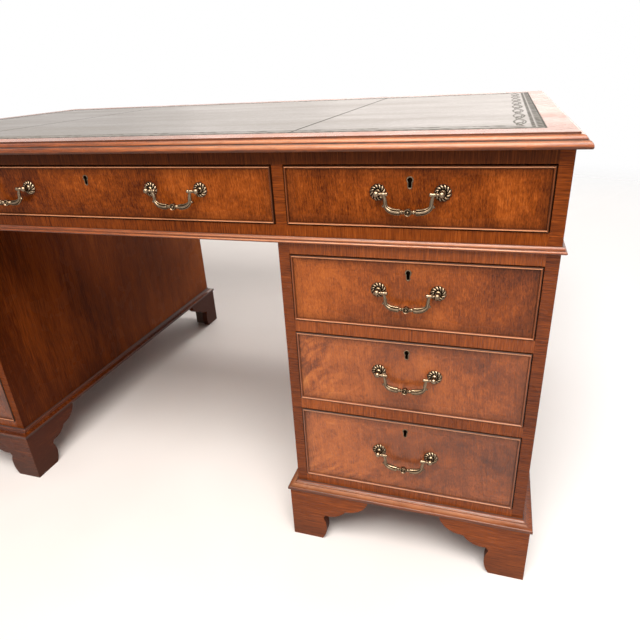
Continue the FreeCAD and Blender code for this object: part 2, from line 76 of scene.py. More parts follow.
class Shade:
    """One node material. Place is a point on the resting piece in metres, and facing its normal."""

    def __init__(self, name):
        self.material = bpy.data.materials.new(name)
        self.material.use_nodes = True
        self.tree = self.material.node_tree
        self.tree.nodes.clear()
        where = self.add("ShaderNodeTexCoord")
        self.place = where.outputs["Object"]
        self.facing = where.outputs["Normal"]

    def add(self, kind, **settings):
        node = self.tree.nodes.new(kind)
        for key, value in settings.items():
            setattr(node, key, value)
        return node

    def add_linked(self, kind, socket, **settings):
        node = self.add(kind, **settings)
        self.put(node.inputs[0], socket)
        return node

    def put(self, socket, value):
        if isinstance(value, bpy.types.NodeSocket):
            self.tree.links.new(value, socket)
        else:
            socket.default_value = value

    def math(self, operation, a, b=0.0, clamp=False):
        node = self.add("ShaderNodeMath", operation=operation, use_clamp=clamp)
        self.put(node.inputs[0], a)
        self.put(node.inputs[1], b)
        return node.outputs[0]

    def total(self, *parts):
        """Sum of (socket, weight) pairs."""
        result = None
        for socket, weight in parts:
            scaled = self.math("MULTIPLY", socket, weight)
            result = scaled if result is None else self.math("ADD", result, scaled)
        return result

    def vector(self, operation, a, b):
        node = self.add("ShaderNodeVectorMath", operation=operation)
        self.put(node.inputs[0], a)
        self.put(node.inputs[1], b)
        return node.outputs[0]

    def axes(self, vector):
        return self.add_linked("ShaderNodeSeparateXYZ", vector).outputs

    def turned(self, vector, location, rotation):
        """The vector, turned by angles in degrees and then moved."""
        node = self.add_linked("ShaderNodeMapping", vector)
        node.inputs["Location"].default_value = location
        node.inputs["Rotation"].default_value = [math.radians(a) for a in rotation]
        return node.outputs[0]

    def noise(self, vector, scale, detail=2.0, roughness=0.5, distortion=0.0):
        node = self.add_linked("ShaderNodeTexNoise", vector)
        node.inputs["Scale"].default_value = scale
        node.inputs["Detail"].default_value = detail
        node.inputs["Roughness"].default_value = roughness
        node.inputs["Distortion"].default_value = distortion
        return node.outputs[0]

    def drift(self, vector, scale, amount):
        """The vector, pushed about by a slow noise of this amount in metres."""
        node = self.add_linked("ShaderNodeTexNoise", vector)
        node.inputs["Scale"].default_value = scale
        node.inputs["Detail"].default_value = 1.0
        centred = self.vector("SUBTRACT", node.outputs[1], (0.5, 0.5, 0.5))
        push = self.vector("MULTIPLY", centred, (amount, amount, amount))
        return self.vector("ADD", vector, push)

    def step(self, value, low, high):
        """0 below low, 1 above high, smooth between. A low above high turns it round."""
        node = self.add("ShaderNodeMapRange", interpolation_type="SMOOTHSTEP")
        self.put(node.inputs[0], value)
        node.inputs[1].default_value = low
        node.inputs[2].default_value = high
        return node.outputs[0]

    def ramp(self, factor, *stops):
        """Colour at a factor between (factor, colour) stops."""
        node = self.add_linked("ShaderNodeValToRGB", factor)
        points = node.color_ramp.elements
        while len(points) < len(stops):
            points.new(0.5)
        for point, (where, colour) in zip(points, stops):
            point.position = where
            point.color = (*colour, 1.0)
        return node.outputs[0]

    def mix(self, factor, a, b):
        """Colour mix."""
        node = self.add("ShaderNodeMix", data_type="RGBA")
        self.put(node.inputs[0], factor)
        for socket, value in ((node.inputs[6], a), (node.inputs[7], b)):
            self.put(socket, (*value, 1.0) if isinstance(value, tuple) else value)
        return node.outputs[2]

    def blend(self, factor, a, b):
        """Number mix."""
        node = self.add("ShaderNodeMix", data_type="FLOAT")
        self.put(node.inputs[0], factor)
        self.put(node.inputs[2], a)
        self.put(node.inputs[3], b)
        return node.outputs[0]

    def finish(self, colour, roughness, height, bump=0.3, depth=0.0004, edge=0.0, **sockets):
        """Principled surface with a bump, and its sharp edges softened over the radius edge."""
        shader = self.add("ShaderNodeBsdfPrincipled")
        output = self.add("ShaderNodeOutputMaterial")
        relief = self.add("ShaderNodeBump")
        if edge:
            rounded = self.add("ShaderNodeBevel", samples=4)
            rounded.inputs["Radius"].default_value = edge
            self.put(relief.inputs["Normal"], rounded.outputs[0])
        relief.inputs["Strength"].default_value = bump
        relief.inputs["Distance"].default_value = depth
        self.put(relief.inputs["Height"], height)
        self.put(shader.inputs["Base Color"], colour)
        self.put(shader.inputs["Roughness"], roughness)
        self.put(shader.inputs["Normal"], relief.outputs[0])
        for key, value in sockets.items():
            self.put(shader.inputs[key.replace("_", " ")], value)
        self.put(output.inputs["Surface"], shader.outputs[0])
        return self.material


def around(s, value, at, half):
    """1 where a value is within half of at, with soft sides."""
    return s.step(s.math("ABSOLUTE", s.math("SUBTRACT", value, at)), half, half * 0.35)


def highest(s, marks):
    result = marks[0]
    for mark in marks[1:]:
        result = s.math("MAXIMUM", result, mark)
    return result


# Wood

# Width of a drawer front's cockbeads in metres
BEAD = 0.0035

# Colours of a wood by its tone, from dark to pale
MAHOGANY = (
    (0.26, (0.055, 0.010, 0.002)),
    (0.42, (0.190, 0.040, 0.005)),
    (0.52, (0.310, 0.072, 0.010)),
    (0.62, (0.410, 0.108, 0.017)),
    (0.78, (0.540, 0.175, 0.034)),
)
# Oak painted dark as shade, for the foot blocks inside the feet
SHADED_OAK = (
    (0.30, (0.030, 0.012, 0.005)),
    (0.50, (0.060, 0.026, 0.011)),
    (0.70, (0.100, 0.046, 0.020)),
)
OAK = (
    (0.30, (0.270, 0.150, 0.062)),
    (0.48, (0.420, 0.260, 0.125)),
    (0.70, (0.560, 0.385, 0.210)),
)

# Colours that are mixed into polished wood, and into plain wood: pores, dirt together with painted
# shade, a painted highlight and a painted reflection
PORE, DIRT_AND_SHADE = (0.040, 0.009, 0.003), (0.018, 0.006, 0.002)
PAINTED_HIGHLIGHT, PAINTED_REFLECTION = (0.740, 0.345, 0.175), (0.46, 0.30, 0.24)
PLAIN_PORE, PLAIN_DIRT_AND_SHADE = (0.12, 0.06, 0.025), (0.06, 0.03, 0.015)

# Shares of fine fibres, streaks, broad bands and slow clouds in the tone of a wood
CROSSBAND = (0.50, 0.16, 0.05, 0.14)
MOULDING = (0.44, 0.30, 0.10, 0.14)
PANEL = (0.34, 0.20, 0.16, 0.34)
QUIET = (0.32, 0.15, 0.22, 0.34)
VENEER = (0.43, 0.22, 0.0, 0.0)
PLAIN = (0.30, 0.30, 0.50, 0.40)

# Scale of the finest fibres, and how far their noise is squeezed along them
LONG_FIBRE = (860.0, 0.035)
SHORT_FIBRE = (950.0, 0.20)


def squeezed(along, share):
    return tuple(share if axis == along else 1.0 for axis in (X, Y, Z))


def grain(s, along, seed, lift, shares=CROSSBAND, lean=(0, 0, 0), fibre=LONG_FIBRE):
    """Tone of straight-grained wood, 0.5 on average but for lift, and its pores.

    The fibres run along an axis, turned by the lean in degrees."""
    place = s.drift(s.turned(s.place, seed, lean), 5.0, 0.012)
    fine, length = fibre
    kinds = ((fine, 3.0, length), (fine * 0.45, 2.0, 0.040), (26.0, 2.0, 0.12), (3.0, 1.0, 1.0))
    parts = []
    for share, (scale, detail, stretch) in zip(shares, kinds):
        if share:
            fibres = s.vector("MULTIPLY", place, squeezed(along, stretch))
            parts.append((s.noise(fibres, scale, detail, 0.58), share))
    tone = s.math("SUBTRACT", s.total(*parts), 0.5 * sum(shares) - 0.5 - lift)
    dashes = s.noise(s.vector("MULTIPLY", place, squeezed(along, 0.10)), 900.0, 1.0)
    return tone, s.step(dashes, 0.61, 0.70)


def figured(s, seed, turn, strength, size, side):
    """What a figured veneer adds to its straight grain.

    Clouds and mottle, and streaks turned by an angle in degrees, most of them where side is 1."""
    def centred(value):
        return s.math("SUBTRACT", value, 0.5)

    place = s.drift(s.turned(s.place, seed, (0, turn, 0)), 4.0, 0.09)
    streaks = s.noise(s.vector("MULTIPLY", place, squeezed(Z, 0.20)), size, 4.0, 0.62, 0.4)
    gather = s.step(s.noise(place, 5.0, 2.0, 0.5), 0.42, 0.66)
    gather = s.math("MULTIPLY", s.blend(gather, 0.15, 1.0), s.blend(side, 0.35, 1.0))
    flare = s.math("MULTIPLY", centred(streaks), gather)
    clouds = s.noise(s.drift(place, 7.0, 0.10), 7.0, 3.0, 0.5)
    mottle = s.noise(s.drift(place, 30.0, 0.012), 75.0, 5.0, 0.66)
    return s.total((flare, strength), (centred(clouds), 0.54), (centred(mottle), 0.28))


def polish(s, tone, pores, shade, shine, wear_and_highlight=None, painted_reflection=0.0, dull=None, rough=0.26):
    """Finishes a polished wood from its tone and pores.

    It is darker where shade is up, by painted shade and dirt; paler by a painted highlight, and by
    a painted reflection, a pale haze; and less glossy where dull, or else shade, is up."""
    # Painted reflection: the colour paled towards a pinkish grey haze
    colour = s.mix(painted_reflection, s.ramp(tone, *MAHOGANY), PAINTED_REFLECTION)
    colour = s.mix(s.math("MULTIPLY", pores, 0.45), colour, PORE)
    if wear_and_highlight is not None:
        # Painted highlight: paler where the crests catch the light
        colour = s.mix(wear_and_highlight, colour, PAINTED_HIGHLIGHT)
    # Dirt together with painted shade darkens the colour where shade is up
    colour = s.mix(shade, colour, DIRT_AND_SHADE)
    hands = s.noise(s.place, 9.0, 3.0, 0.6)
    dulled = shade if dull is None else dull
    roughness = s.total((hands, 0.22), (pores, 0.15), (dulled, 0.30))
    roughness = s.math("ADD", roughness, rough - 0.11)
    height = s.math("SUBTRACT", s.math("MULTIPLY", tone, 0.35), pores)
    return s.finish(colour, roughness, height, bump=0.10, edge=0.0010, Specular_IOR_Level=shine)


def corner_dirt_and_shade(s, distance, amount):
    """Painted shade in the corners of a piece, from ambient occlusion, with the old polish and dirt
    gathered there.
    """
    hollow = s.add("ShaderNodeAmbientOcclusion", samples=4, only_local=True)
    hollow.inputs["Distance"].default_value = distance
    return s.math("MULTIPLY", s.step(hollow.outputs["AO"], 0.75, 0.25), amount)


def level_lines(s, rows):
    """Patchy lines at (height, half width, strength) rows, in metres."""
    height = s.axes(s.place)[Z]
    lines = highest(s, [s.math("MULTIPLY", around(s, height, at, half), strength)
                        for at, half, strength in rows])
    patchy = s.step(s.noise(s.place, 40.0, 3.0, 0.6), 0.25, 0.60)
    return s.math("MULTIPLY", lines, s.blend(patchy, 0.6, 1.0))


def rail_wood(name, seed, lift, shine, sweep=0.0, shadow_under_top=None):
    """Cross-grained rail, paler to the right by the sweep, with a painted shadow, darker upwards
    between two heights.
    """
    s = Shade(name)
    place = s.axes(s.place)
    tone, pores = grain(s, Z, seed, lift)
    tone = s.math("ADD", tone, s.math("MULTIPLY", place[X], sweep))
    # Painted shade and dirt in the corners, and a painted shadow of the top above
    dirt_and_shade = corner_dirt_and_shade(s, 0.006, 0.6)
    if shadow_under_top is not None:
        dirt_and_shade = s.math("MAXIMUM", dirt_and_shade, s.math("MULTIPLY", s.step(place[Z], *shadow_under_top), 0.55))
    return polish(s, tone, pores, dirt_and_shade, shine)


def board_wood(name, seed, along, lift, edge_lift, shine, sweep=0.0, shares=PANEL):
    """Veneered board with level banding on its front, and on its back unless its grain is upright.

    Its ends are paler to the back by the sweep, a painted shade darker to the front."""
    s = Shade(name)
    faces = s.axes(s.facing)
    tone, pores = grain(s, along, seed, lift, shares)
    ends = s.step(s.math("ABSOLUTE", faces[X]), 0.6, 0.8)
    # Painted shade on the ends, darker to the front
    swept = s.math("MULTIPLY", s.axes(s.place)[Y], sweep)
    tone = s.math("ADD", tone, s.math("MULTIPLY", swept, ends))
    edge_tone, edge_pores = grain(s, X, seed, edge_lift)
    if along == Z:
        banded = s.math("MULTIPLY", faces[Y], -1.0)
    else:
        banded = s.math("ABSOLUTE", faces[Y])
    edge = s.step(banded, 0.6, 0.8)
    tone, pores = s.blend(edge, tone, edge_tone), s.blend(edge, pores, edge_pores)
    # Painted shade and dirt in the corners darken the board
    return polish(s, tone, pores, corner_dirt_and_shade(s, 0.006, 0.5), shine)


def moulding_wood(name, seed, lift, shine, sweep, dirt_and_shade=(), rubbed_and_highlit=(), darker_below=0.0):
    """Moulding with grain along X on its front and back, and along Y at its ends, whose lower tone
    is partly end grain and partly painted shade on the sides.

    It is paler to the right by the sweep, a painted shade darker to the left. Its rows for
    level_lines paint shade with dirt, dark in the grooves, and highlights, pale on the right of the
    front. Below a given height it darkens to the floor."""
    s = Shade(name)
    place = s.axes(s.place)
    front, front_pores = grain(s, X, seed, lift, MOULDING)
    # Painted shade, darker to the left: the tone rises with x up to 0.25
    swept = s.math("MULTIPLY", s.math("MINIMUM", place[X], 0.25), sweep)
    front = s.math("ADD", front, swept)
    # The ends' lower tone is partly end grain and partly painted shade on the sides
    end, end_pores = grain(s, Y, seed, lift - 0.14, MOULDING)
    side = s.step(s.math("ABSOLUTE", s.axes(s.facing)[X]), 0.45, 0.55)
    # Painted shade and dirt in the corners, and in dark lines along the grooves
    shade, wear_and_highlight = corner_dirt_and_shade(s, 0.004, 0.6), None
    if dirt_and_shade:
        shade = s.math("MAXIMUM", shade, level_lines(s, dirt_and_shade))
    # Darker towards the floor below a given height
    if darker_below:
        low_down = s.step(place[Z], darker_below, 0.0)
        shade = s.math("MAXIMUM", shade, s.math("MULTIPLY", low_down, 0.32))
    # Painted highlights on the front, faded out to the left and at the right end
    if rubbed_and_highlit:
        wear_and_highlight = s.math("MULTIPLY", level_lines(s, rubbed_and_highlit), s.math("SUBTRACT", 1.0, side))
        wear_and_highlight = s.math("MULTIPLY", wear_and_highlight, s.step(place[X], -0.10, 0.40))
        wear_and_highlight = s.math("MULTIPLY", wear_and_highlight, s.step(place[X], 0.75, 0.68))
    tone, pores = s.blend(side, front, end), s.blend(side, front_pores, end_pores)
    dull = s.math("MAXIMUM", shade, side)
    return polish(s, tone, pores, shade, shine, wear_and_highlight, dull=dull, rough=0.25)


def front_veneer(node, seed, lean, turn, strength, size, lift, sweep, painted_reflection, shine):
    """Drawer front: figured veneer inside beads whose grain follows them, with painted shade and
    dirt just inside them, a painted shadow in the gap round them, darker towards them, and painted
    highlights on them.
    """
    s = Shade(node)
    low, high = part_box(node)
    middle = (low + high) / 2
    half_width, half_height = (high.x - low.x) / 2, (high.z - low.z) / 2
    centred = s.axes(s.vector("SUBTRACT", s.place, tuple(middle)))
    from_side = s.math("SUBTRACT", half_width, s.math("ABSOLUTE", centred[X]))
    from_rail = s.math("SUBTRACT", half_height, s.math("ABSOLUTE", centred[Z]))
    near = s.math("MINIMUM", from_side, from_rail)
    on_bead = s.step(near, BEAD + 0.0002, BEAD - 0.0002)
    on_side = s.math("LESS_THAN", from_side, from_rail)

    tone, pores = grain(s, Z, seed, lift, VENEER, (0, lean, 0), SHORT_FIBRE)
    to_left = s.step(centred[X], 0.06, -0.10)
    tone = s.math("ADD", tone, figured(s, seed, turn, strength, size, to_left))
    tone = s.math("ADD", tone, s.math("MULTIPLY", centred[X], -sweep / half_width))
    level, level_pores = grain(s, X, seed, lift - 0.03)
    upright, upright_pores = grain(s, Z, seed, lift - 0.08)
    tone = s.blend(on_bead, tone, s.blend(on_side, level, upright))
    pores = s.blend(on_bead, pores, s.blend(on_side, level_pores, upright_pores))

    # Painted highlight along the crests of the beads, strong on the top and bottom beads, faint on
    # the side beads
    bead_highlight = s.math("MULTIPLY", around(s, near, 0.0021, 0.0011), s.blend(on_side, 0.60, 0.08))
    # Painted shade and dirt in a line just inside the beads
    inner = s.math("MULTIPLY", around(s, near, BEAD + 0.0006, 0.0012), 0.55)
    # Painted shadow of the gap round the front, on its outer edge
    depth = low.y - middle.y + 0.005
    at_face = s.step(centred[Y], depth, depth - 0.002)
    outer = s.math("MULTIPLY", s.step(near, 0.0015, 0.0007), at_face)
    outer = s.math("MULTIPLY", outer, 0.90)
    # Darker towards the beads, off them
    corner = s.math("MULTIPLY", s.step(near, 0.022, 0.004), 0.26)
    corner = s.math("MULTIPLY", corner, s.math("SUBTRACT", 1.0, on_bead))
    return polish(s, tone, pores, highest(s, [inner, outer, corner]), shine, bead_highlight, painted_reflection)


def plain_wood(name, seed, along, tones):
    """Unpolished wood inside."""
    s = Shade(name)
    tone, pores = grain(s, along, seed, 0.0, PLAIN)
    colour = s.mix(s.math("MULTIPLY", pores, 0.45), s.ramp(tone, *tones), PLAIN_PORE)
    # Painted shade and dirt in the corners darken the plain wood
    colour = s.mix(corner_dirt_and_shade(s, 0.01, 0.4), colour, PLAIN_DIRT_AND_SHADE)
    roughness = s.math("ADD", 0.5, s.math("MULTIPLY", tone, 0.25))
    return s.finish(colour, roughness, s.math("SUBTRACT", tone, pores), bump=0.25)


# Leather

# From the middle of the top to the seams of its panels, in metres
SEAM = 0.3502

HIDE = (
    (0.30, (0.016, 0.013, 0.009)),
    (0.50, (0.036, 0.030, 0.020)),
    (0.72, (0.080, 0.064, 0.044)),
)
TOOLED_HIDE = (0.003, 0.004, 0.003)

# From the leather's edge to the middle of its knots, its rope and its hatched band, in metres
KNOTS_IN, ROPE_IN, HATCHED_IN = 0.0320, 0.0155, 0.0066


def leather(name):
    """Dark hide with blind tooling round the outer edge of the three panels."""
    s = Shade(name)
    low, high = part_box("leather_panels")
    across = s.axes(s.vector("SUBTRACT", s.place, tuple((low + high) / 2)))
    from_end = s.math("SUBTRACT", (high.x - low.x) / 2, s.math("ABSOLUTE", across[X]))
    from_front = s.math("SUBTRACT", (high.y - low.y) / 2, s.math("ABSOLUTE", across[Y]))
    inward = s.math("MINIMUM", from_end, from_front)
    at_end = s.math("LESS_THAN", from_end, from_front)
    along = s.blend(at_end, across[X], across[Y])

    def line(at, half):
        return around(s, inward, at, half)

    def snake(pitch, reach, half, shift=0.0):
        """Wave along the middle of the knots."""
        angle = s.math("ADD", s.math("MULTIPLY", along, 2 * math.pi / pitch), shift)
        middle = s.math("ADD", s.math("MULTIPLY", s.math("SINE", angle), reach), KNOTS_IN)
        return around(s, inward, middle, half)

    def ring(pitch, radius, half, shift):
        """Row of rings along the middle of the knots, drawn out along the row."""
        turn = s.math("FRACT", s.math("ADD", s.math("MULTIPLY", along, 1 / pitch), shift))
        side = s.math("MULTIPLY", s.math("SUBTRACT", turn, 0.5), pitch * 0.35)
        off = s.math("SUBTRACT", inward, KNOTS_IN)
        squares = s.math("ADD", s.math("POWER", side, 2.0), s.math("POWER", off, 2.0))
        return around(s, s.math("SQRT", squares), radius, half)

    def ticks(pitch, start, end):
        """Leaning strokes between two distances from the edge."""
        angle = s.math("MULTIPLY", along, 2 * math.pi / pitch)
        leaning = s.math("ADD", angle, s.math("MULTIPLY", inward, 420.0))
        rung = s.step(s.math("SINE", leaning), 0.0, 0.5)
        return s.math("MULTIPLY", rung, line((start + end) / 2, (end - start) / 2))

    knots = highest(s, [
        snake(0.178, 0.0082, 0.0021), snake(0.178, 0.0082, 0.0017, math.pi),
        snake(0.089, 0.0050, 0.0016, 1.2), ring(0.089, 0.0040, 0.0017, 0.25)])
    twist = s.blend(ticks(0.0240, 0.0100, 0.0210), 0.45, 0.95)
    rope = s.math("MULTIPLY", line(ROPE_IN, 0.0034), twist)
    hatch = s.blend(ticks(0.0190, 0.0, 0.0132), 0.35, 0.95)
    hatched = s.math("MULTIPLY", line(HATCHED_IN, 0.0062), hatch)
    tooled = highest(s, [line(0.0012, 0.0024), hatched, rope, s.math("MULTIPLY", knots, 0.55)])
    wear_and_highlight = s.step(s.noise(s.place, 60.0, 3.0, 0.7), 0.30, 0.62)
    tooled = s.math("MULTIPLY", tooled, s.blend(wear_and_highlight, 0.45, 1.0))
    seam = around(s, s.math("ABSOLUTE", across[X]), SEAM, 0.0024)
    tooled = s.math("MAXIMUM", tooled, seam)

    jittered = s.drift(s.place, 300.0, 0.001)
    pebble = s.add_linked("ShaderNodeTexVoronoi", jittered, feature="SMOOTH_F1")
    pebble.inputs["Scale"].default_value = 700.0
    crease = s.noise(s.drift(s.place, 12.0, 0.03), 120.0, 4.0, 0.6)
    patch = s.noise(s.vector("MULTIPLY", s.place, (0.5, 2.2, 1.0)), 5.0, 5.0, 0.62)
    colour = s.ramp(s.total((patch, 0.7), (crease, 0.3)), *HIDE)
    colour = s.mix(s.math("MULTIPLY", tooled, 0.9), colour, TOOLED_HIDE)
    roughness = s.total((patch, 0.26), (crease, 0.14), (tooled, 0.75))
    roughness = s.math("ADD", roughness, 0.16, clamp=True)
    height = s.total((pebble.outputs["Distance"], 0.25), (crease, 0.45), (tooled, -1.0))
    return s.finish(colour, roughness, height, bump=0.35, depth=0.0006, Specular_IOR_Level=0.60)


# Brass

OLD_BRASS = (
    (0.0, (0.014, 0.008, 0.004)),
    (0.40, (0.080, 0.050, 0.026)),
    (1.0, (0.245, 0.182, 0.123)),
)


def brass(name):
    """Cast brass, dark with age in its hollows and rubbed bright on its high places."""
    s = Shade(name)
    shut = s.add("ShaderNodeAmbientOcclusion", samples=8, only_local=True)
    shut.inputs["Distance"].default_value = 0.004
    groove = s.add("ShaderNodeAttribute", attribute_name="hollow").outputs["Fac"]
    high = s.math("MULTIPLY", s.step(shut.outputs["AO"], 0.25, 0.95), s.step(groove, 0.60, 0.12))
    spots = s.noise(s.place, 420.0, 4.0, 0.65)
    cloud = s.noise(s.place, 60.0, 2.0)
    clean = s.step(s.total((spots, 0.5), (cloud, 0.5)), 0.25, 0.70)
    rubbed_and_highlit = s.math("MULTIPLY", high, s.blend(clean, 0.60, 1.0), clamp=True)
    colour = s.ramp(rubbed_and_highlit, *OLD_BRASS)
    tarnish = s.math("SUBTRACT", 1.0, rubbed_and_highlit)
    roughness = s.math("ADD", 0.20, s.math("MULTIPLY", tarnish, 0.34))
    return s.finish(colour, roughness, spots, bump=0.15, depth=0.0003, Metallic=1.0)


# A material for each CAD node

def dress(node, material):
    nodes[node].data.materials.clear()
    nodes[node].data.materials.append(material)


dress("top_board", board_wood(
    "top_veneer", (3.1, 1.4, 0.2), X, lift=-0.06, edge_lift=-0.06, shine=0.08))
# Mouldings: rows of (height, half width, strength) paint dark lines of painted shade with dirt in
# the grooves, and painted highlights on the crests
dress("top_edge_moulding", moulding_wood(
    "polished_top", (3.1, 0.4, 0.2), lift=-0.105, shine=0.34, sweep=0.24,
    dirt_and_shade=((0.7606, 0.0017, 0.70), (0.7535, 0.0014, 0.92), (0.7444, 0.0030, 0.75)),
    rubbed_and_highlit=((0.7494, 0.0028, 0.28), (0.7565, 0.0022, 0.28))))
dress("waist_moulding", moulding_wood(
    "waist_wood", (5.3, 0.1, 0.7), lift=-0.08, shine=0.45, sweep=0.06,
    dirt_and_shade=((0.6112, 0.0007, 0.55), (0.6165, 0.0009, 0.75), (0.6068, 0.0012, 0.75)),
    rubbed_and_highlit=((0.6096, 0.0012, 0.50), (0.6136, 0.0014, 0.45))))
dress("base_moulding", moulding_wood(
    "base_wood", (7.9, 0.6, 0.3), lift=-0.155, shine=0.42, sweep=0.14,
    dirt_and_shade=((0.1308, 0.0016, 0.80), (0.1206, 0.0007, 0.45), (0.1170, 0.0020, 0.60)),
    rubbed_and_highlit=((0.1229, 0.0014, 0.34), (0.1258, 0.0008, 0.30))))
dress("bracket_feet", moulding_wood(
    "foot_wood", (2.2, 1.9, 0.8), lift=-0.148, shine=0.17, sweep=0.24, darker_below=0.10))
dress("frieze_panels", board_wood(
    "frieze_wood", (1.2, 0.3, 0.9), Y, lift=-0.10, edge_lift=-0.13, shine=0.08))
# Left pedestal: its ends painted with shade, darker to the front
dress("left_pedestal_panels", board_wood(
    "left_pedestal_wood", (4.6, 0.8, 0.1), Z, lift=-0.120, edge_lift=-0.14, shine=0.05,
    sweep=0.29, shares=QUIET))
dress("right_pedestal_panels", board_wood(
    "right_pedestal_wood", (6.4, 0.5, 0.4), Z, lift=-0.14, edge_lift=-0.15, shine=0.20))
# Frieze rails: painted shadow of the top, darker up from 0.690 to 0.730
dress("frieze_rails", rail_wood(
    "frieze_rail_wood", (0.7, 2.3, 0.6), lift=-0.14, shine=0.06, sweep=0.10,
    shadow_under_top=(0.690, 0.730)))
dress("drawer_rails", rail_wood("drawer_rail_wood", (1.7, 2.9, 0.3), lift=-0.072, shine=0.24))
inside = plain_wood("oak_inside", (0.3, 0.6, 0.9), Y, OAK)
for node in ("runners_and_stops", "locating_dowels"):
    dress(node, inside)
# Foot blocks: darker oak, painted shade inside the feet
dress("foot_blocks", plain_wood("shaded_inside", (0.9, 0.2, 0.4), Z, SHADED_OAK))
dress("leather_panels", leather("tooled_hide"))
metal = brass("old_brass")

# Seed, lean of the fibres and turn of the figure in degrees, the figure's strength and size, tone,
# how much darker to the right, a painted reflection that pales the lower fronts with a haze, and
# shine
FRONTS = {
    # The frieze fronts' low tones are partly their wood and partly painted shade under the top
    "centre_drawer": ((0.3, 0.2, 4.1), 4, -24, 0.40, 90.0, -0.13, -0.07, 0.0, 0.06),
    "left_frieze_drawer": ((2.4, 0.6, 1.1), -3, 16, 0.25, 90.0, -0.10, 0.02, 0.0, 0.06),
    "right_frieze_drawer": ((1.7, 0.9, 2.6), 3, -14, 0.25, 90.0, -0.122, 0.055, 0.0, 0.06),
    "left_upper_drawer": ((1.9, 0.3, 2.2), -3, 34, 0.45, 80.0, -0.04, 0.06, 0.02, 0.18),
    "right_upper_drawer": ((3.3, 0.1, 0.8), 3, -34, 0.45, 80.0, -0.04, 0.05, 0.02, 0.18),
    "left_middle_drawer": ((4.4, 0.7, 3.2), -4, 42, 1.10, 75.0, -0.035, 0.10, 0.05, 0.30),
    "right_middle_drawer": ((6.1, 0.4, 1.5), 4, -42, 1.10, 75.0, -0.035, 0.10, 0.05, 0.30),
    "left_lower_drawer": ((0.8, 0.5, 5.1), -4, 50, 1.00, 55.0, -0.060, 0.04, 0.06, 0.36),
    "right_lower_drawer": ((5.5, 0.8, 1.7), 4, -50, 1.00, 55.0, -0.060, 0.04, 0.06, 0.36),
}
for drawer, figure in FRONTS.items():
    dress(f"{drawer}_front", front_veneer(f"{drawer}_front", *figure))
    dress(f"{drawer}_box", inside)
    dress(f"{drawer}_lock_bolt", metal)


# Cast brass that replaces the CAD's bails and drawer fittings, drawn in millimetres

# Y of the drawer fronts, and from there out to the pins of the bails
FACE = -439.0
PIN_OUT = 13.5
# From the top of a bail's box down to its pin, and from the pin down to its bar
PIN_DOWN = 2.6
BAR = -24.5
# From the middle of a handle to its posts, and from the top of a front down to its keyhole
POST = 45.0
KEYHOLE_DOWN = 19.5

REEDS = 5
PETALS = 12
SWIRL = 0.60
# Height of a rose's petals, from its rim to its middle
PETAL_HEIGHTS = (1.3, 2.7, 3.5, 4.0, 4.3, 4.4, 4.3, 3.9, 3.3, 2.7, 2.4)

ALONG_X = Matrix.Rotation(math.radians(-90), 4, "Z")


class Cast:
    """Points and faces gathered from turned, bent and boxed forms; hollow is 1 in grooves."""

    def __init__(self):
        self.points, self.faces, self.hollow = [], [], []

    def skin(self, rings, matrix=Matrix(), hollow=None, closed=False):
        """Surface through rings with equal counts of points, capped at its ends unless closed."""
        start, count = len(self.points), len(rings[0])
        self.points += [matrix @ Vector(p) for ring in rings for p in ring]
        self.hollow += hollow or [0.0] * (count * len(rings))
        last = len(rings) if closed else len(rings) - 1
        for r in range(last):
            a, b = start + r * count, start + (r + 1) % len(rings) * count
            for i in range(count):
                j = (i + 1) % count
                self.faces.append((a + i, a + j, b + j, b + i))
        if not closed:
            self.faces.append(tuple(start + i for i in reversed(range(count))))
            self.faces.append(tuple(start + last * count + i for i in range(count)))

    def turn(self, outline, matrix, count=32, closed=False):
        """Outline of (radius, y) turned about Y."""
        angles = [2 * math.pi * i / count for i in range(count)]
        spokes = [(math.cos(a), math.sin(a)) for a in angles]
        rings = [[(r * c, y, r * k) for c, k in spokes] for r, y in outline]
        self.skin(rings, matrix, closed=closed)

    def rod(self, path, matrix, count=40):
        """Rod in the XZ plane along (x, z, radius, depth of its reeding)."""
        rings, hollow = [], []
        for k, (x, z, radius, depth) in enumerate(path):
            before, after = path[max(k - 1, 0)], path[min(k + 1, len(path) - 1)]
            side = Vector((before[1] - after[1], 0, after[0] - before[0])).normalized()
            ring = []
            for i in range(count):
                angle = 2 * math.pi * i / count
                groove = (0.5 - 0.5 * math.cos(REEDS * (angle + math.pi / 2))) ** 3 * depth
                reach = radius * (1 - 0.30 * groove)
                out = Vector((0, reach * math.sin(angle), 0))
                ring.append(Vector((x, 0, z)) + side * (reach * math.cos(angle)) + out)
                hollow.append(groove)
            rings.append(ring)
        self.skin(rings, matrix, hollow)

    def box(self, low, high, hollow):
        (x0, y0, z0), (x1, y1, z1) = low, high
        rings = [[(x0, y0, z), (x1, y0, z), (x1, y1, z), (x0, y1, z)] for z in (z0, z1)]
        self.skin(rings, hollow=[hollow] * 8)

    def piece(self, name):
        """Object in metres, smooth but for its sharp edges."""
        mesh = bpy.data.meshes.new(name)
        form = bmesh.new()
        for p in self.points:
            form.verts.new(p / 1000)
        form.verts.ensure_lookup_table()
        layer = form.verts.layers.float.new("hollow")
        for vertex, value in zip(form.verts, self.hollow):
            vertex[layer] = value
        for face in self.faces:
            form.faces.new([form.verts[i] for i in face])
        bmesh.ops.recalc_face_normals(form, faces=form.faces)
        form.to_mesh(mesh)
        form.free()
        mesh.polygons.foreach_set("use_smooth", [True] * len(mesh.polygons))
        mesh.set_sharp_from_angle(angle=math.radians(38))
        mesh.materials.append(metal)
        return new_object(name, mesh)


def arc(centre, radius, start, end, count):
    """Points (x, z) on an arc between two angles in degrees."""
    angles = [math.radians(start + (end - start) * i / count) for i in range(count + 1)]
    return [(centre[0] + radius * math.cos(a), centre[1] + radius * math.sin(a)) for a in angles]


